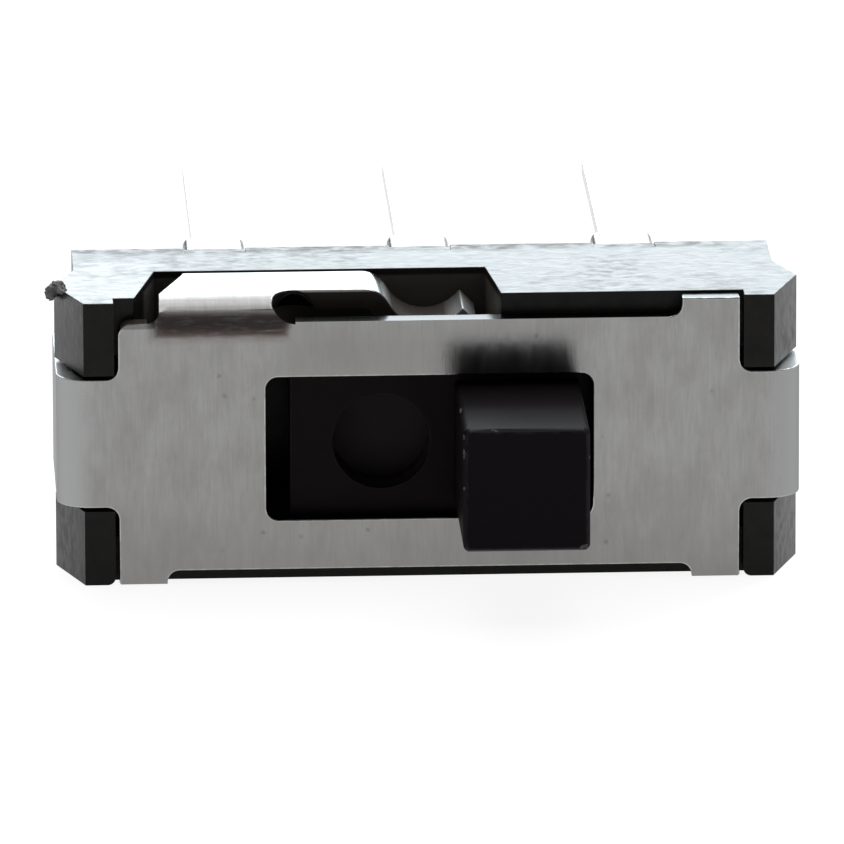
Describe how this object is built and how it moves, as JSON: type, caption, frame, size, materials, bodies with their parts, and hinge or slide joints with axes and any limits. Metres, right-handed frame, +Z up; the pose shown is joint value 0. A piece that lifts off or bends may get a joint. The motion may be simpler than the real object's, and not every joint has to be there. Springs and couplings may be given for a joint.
{
  "type": "slide switch",
  "caption": "Miniature slide switch with a steel cover, a square side-sliding knob, a sprung detent arm and flat terminals in a row.",
  "frame": {"origin": "middle of the housing's rear face, the one that the terminals leave", "axes": "+X the way the knob slides at rest's end, +Y the way the terminals point, +Z up with the switch lying on its long side"},
  "size_m": [0.009, 0.0099, 0.0036],
  "materials": {
    "housing_plastic": "moulded, fine matt grain",
    "cover_steel": "rolled sheet, satin with a fine vertical grain",
    "slider_plastic": "moulded, smooth and dull",
    "contact_bronze": "rolled spring strip",
    "terminal_tin": "bright tin plating"
  },
  "bodies": {
    "switch_body": {"housing": "housing_plastic", "cover": "cover_steel", "terminal_left": "terminal_tin", "terminal_common": "terminal_tin", "terminal_right": "terminal_tin"},
    "slide": {"slider": "slider_plastic", "moving_contact": "contact_bronze"}
  },
  "joints": [
    {"name": "knob_slide", "type": "slide", "parent": "switch_body", "child": "slide", "axis": [1, 0, 0], "range_m": [-0.00214, 0]}
  ]
}
